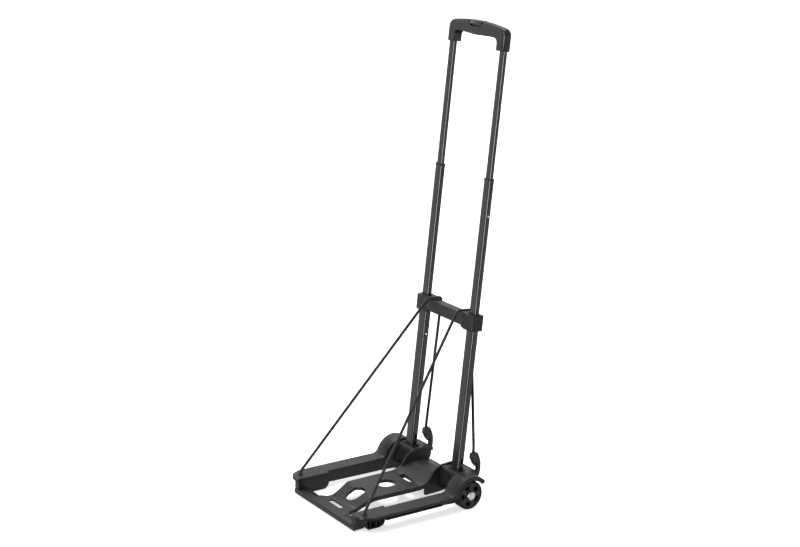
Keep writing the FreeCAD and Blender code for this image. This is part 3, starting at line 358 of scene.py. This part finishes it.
def resample(pts, step):
    """The same line in even steps."""
    P = np.array(pts, float)
    seg = np.linalg.norm(np.diff(P, axis=0), axis=1)
    s = np.concatenate([[0], np.cumsum(seg)])
    n = max(2, int(round(s[-1] / step)))
    t = np.linspace(0, s[-1], n + 1)
    return np.stack([np.interp(t, s, P[:, k]) for k in range(3)], 1), s[-1]


def frames_along(P):
    """Unit tangents and a side vector that turns as little as it can."""
    T = np.gradient(P, axis=0)
    T /= np.linalg.norm(T, axis=1)[:, None]
    n = np.cross(T[0], (0.0, 0.0, 1.0))
    if np.linalg.norm(n) < 1e-3:
        n = np.cross(T[0], (1.0, 0.0, 0.0))
    n /= np.linalg.norm(n)
    side = [n]
    for i in range(1, len(P)):
        v = side[-1] - T[i] * (side[-1] @ T[i])
        side.append(v / np.linalg.norm(v))
    side = np.array(side)
    return T, side, np.cross(T, side)


def braided(name, pts, radius, step=0.0006, around=28, carriers=8, pitch=0.016, relief=0.00022):
    """A tube whose surface is a two-over-one braid of rounded strands."""
    P, length = resample(pts, step)
    T, A, B = frames_along(P)
    s = np.linspace(0, length, len(P))
    th = np.linspace(0, 2 * math.pi, around, endpoint=False)
    S, TH = np.meshgrid(s, th, indexing="ij")
    u = carriers * TH / (2 * math.pi) + S / pitch * 2.0
    v = carriers * TH / (2 * math.pi) - S / pitch * 2.0
    fu, fv = u - np.floor(u), v - np.floor(v)
    par = (np.floor(u) + np.floor(v)) % 2
    bulge = lambda f: np.sqrt(np.clip(1 - (2 * f - 1) ** 2, 0, 1))
    h = np.where(par > 0.5, bulge(fu) * (0.55 + 0.45 * bulge(fv)), bulge(fv) * (0.55 + 0.45 * bulge(fu)))
    R = radius - relief + relief * h
    co = P[:, None, :] + R[..., None] * (np.cos(TH)[..., None] * A[:, None, :] + np.sin(TH)[..., None] * B[:, None, :])
    n, m = R.shape
    verts = co.reshape(-1, 3)
    i = np.arange(n - 1)[:, None] * m
    j = np.arange(m)[None, :]
    j2 = (j + 1) % m
    quads = np.stack([i + j, i + j2, i + m + j2, i + m + j], -1).reshape(-1, 4)
    faces = quads.tolist()
    base = len(verts)
    verts = np.vstack([verts, P[0] - T[0] * 0.0003, P[-1] + T[-1] * 0.0003])
    for k in range(m):
        k2 = (k + 1) % m
        faces.append((base, k2, k))
        faces.append((base + 1, (n - 1) * m + k, (n - 1) * m + k2))
    me = bpy.data.meshes.new(name)
    me.from_pydata(verts.tolist(), [], faces)
    me.update()
    me.polygons.foreach_set("use_smooth", [True] * len(me.polygons))
    ob = bpy.data.objects.new(name, me)
    scene.collection.objects.link(ob)
    return ob, P, length


for side, sx in (("right", 1.0), ("left", -1.0)):
    pts = line_of([(sx * x, y, z) for x, y, z in ROUTE])
    cord, path, cord_len = braided(side + "_braided_cord", pts, CORD_D / 2)
    cord.data.materials.append(M["cord"])
    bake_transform(cord)
    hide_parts(side + "_elastic_cord")
    print("cord", side, round(cord_len, 4))

# ------------------------------------------------------------ floor and light
SKY_BASE = 0.07
LOBES = [((-0.80, 0.54, 0.25), 0.35, 0.98, 0.80),      # pale wall behind on the left
         ((-0.80, -0.58, -0.10), 0.60, 0.98, 0.85),    # softer one in front on the left
         ((0.795, 0.543, -0.27), 0.70, 0.97, 0.85),    # low one behind on the right
         ((0.565, -0.825, -0.06), 0.955, 0.988, 13.0), # narrow bright panel in front on the right
         ((0.0, 0.0, 1.0), 0.1, 0.9, 0.30)]            # ceiling
SUN, STRIP, KEY = 2.0, 4.0, 22.0
FLOOR_GLOW = 0.62
floor_me = bpy.data.meshes.new("floor")
floor_me.from_pydata([(-40, -40, 0), (40, -40, 0), (40, 40, 0), (-40, 40, 0)], [], [(0, 1, 2, 3)])
floor = bpy.data.objects.new("floor", floor_me)
scene.collection.objects.link(floor)
ft = Tree("floor_paper")
fn = ft.noise(3.0, 3.0, 0.5)
ft.set(color=ft.mix(fn, (0.92, 0.92, 0.92), (0.94, 0.94, 0.94)), rough=0.9, spec=0.1)
ft.b.inputs["Emission Color"].default_value = (1.0, 1.0, 1.0, 1.0)
ft.b.inputs["Emission Strength"].default_value = FLOOR_GLOW
floor_me.materials.append(ft.mat)
floor.location = (0, 0, -0.0004)
# a white sweep that is lit from below a little, as for a cut-out picture
floor.visible_diffuse = False
floor.visible_glossy = False

world = bpy.data.worlds.new("studio")
scene.world = world
world.use_nodes = True
wt = world.node_tree
bg = wt.nodes["Background"]
geo = wt.nodes.new("ShaderNodeNewGeometry").outputs["Position"]


def lobe(direction, edge, peak, level):
    """Radiance that rises to level as a ray turns toward the direction; edge and peak are cosines."""
    d = wt.nodes.new("ShaderNodeVectorMath")
    d.operation = "DOT_PRODUCT"
    nrm = wt.nodes.new("ShaderNodeVectorMath")
    nrm.operation = "NORMALIZE"
    wt.links.new(geo, nrm.inputs[0])
    wt.links.new(nrm.outputs[0], d.inputs[0])
    d.inputs[1].default_value = Vector(direction).normalized()
    m = wt.nodes.new("ShaderNodeMapRange")
    m.interpolation_type = "SMOOTHSTEP"
    m.inputs["From Min"].default_value = edge
    m.inputs["From Max"].default_value = peak
    m.inputs["To Min"].default_value = 0.0
    m.inputs["To Max"].default_value = level
    wt.links.new(d.outputs["Value"], m.inputs["Value"])
    return m.outputs[0]


total = None
for args in LOBES:
    out = lobe(*args)
    if total is None:
        total = out
    else:
        add = wt.nodes.new("ShaderNodeMath")
        add.operation = "ADD"
        wt.links.new(total, add.inputs[0])
        wt.links.new(out, add.inputs[1])
        total = add.outputs[0]
base_level = wt.nodes.new("ShaderNodeMath")
base_level.operation = "ADD"
wt.links.new(total, base_level.inputs[0])
base_level.inputs[1].default_value = SKY_BASE
wt.links.new(base_level.outputs[0], bg.inputs[1])
bg.inputs[0].default_value = (1.0, 1.0, 1.0, 1.0)


def area(name, loc, target, size, power, size_y=None):
    d = bpy.data.lights.new(name, "AREA")
    d.shape = "RECTANGLE"
    d.size = size
    d.size_y = size_y or size
    d.energy = power
    o = bpy.data.objects.new(name, d)
    scene.collection.objects.link(o)
    o.location = loc
    o.rotation_euler = (Vector(target) - Vector(loc)).to_track_quat("-Z", "Y").to_euler()
    o.visible_camera = False
    return o


sun_data = bpy.data.lights.new("overhead", "SUN")
sun_data.energy = SUN
sun_data.angle = math.radians(34)
sun = bpy.data.objects.new("overhead", sun_data)
scene.collection.objects.link(sun)
sun.rotation_euler = Vector((0.30, -0.12, -0.95)).to_track_quat("-Z", "Y").to_euler()

area("strip_front", (0.93, -1.32, 0.62), (0.0, 0.03, 0.50), 0.22, STRIP, 1.25)
area("key_glint", (0.5, -1.7, 2.3), (0, 0.1, 0.8), 0.35, KEY)

scene.view_settings.view_transform = "Standard"
scene.view_settings.look = "None"

bpy.context.view_layer.update()
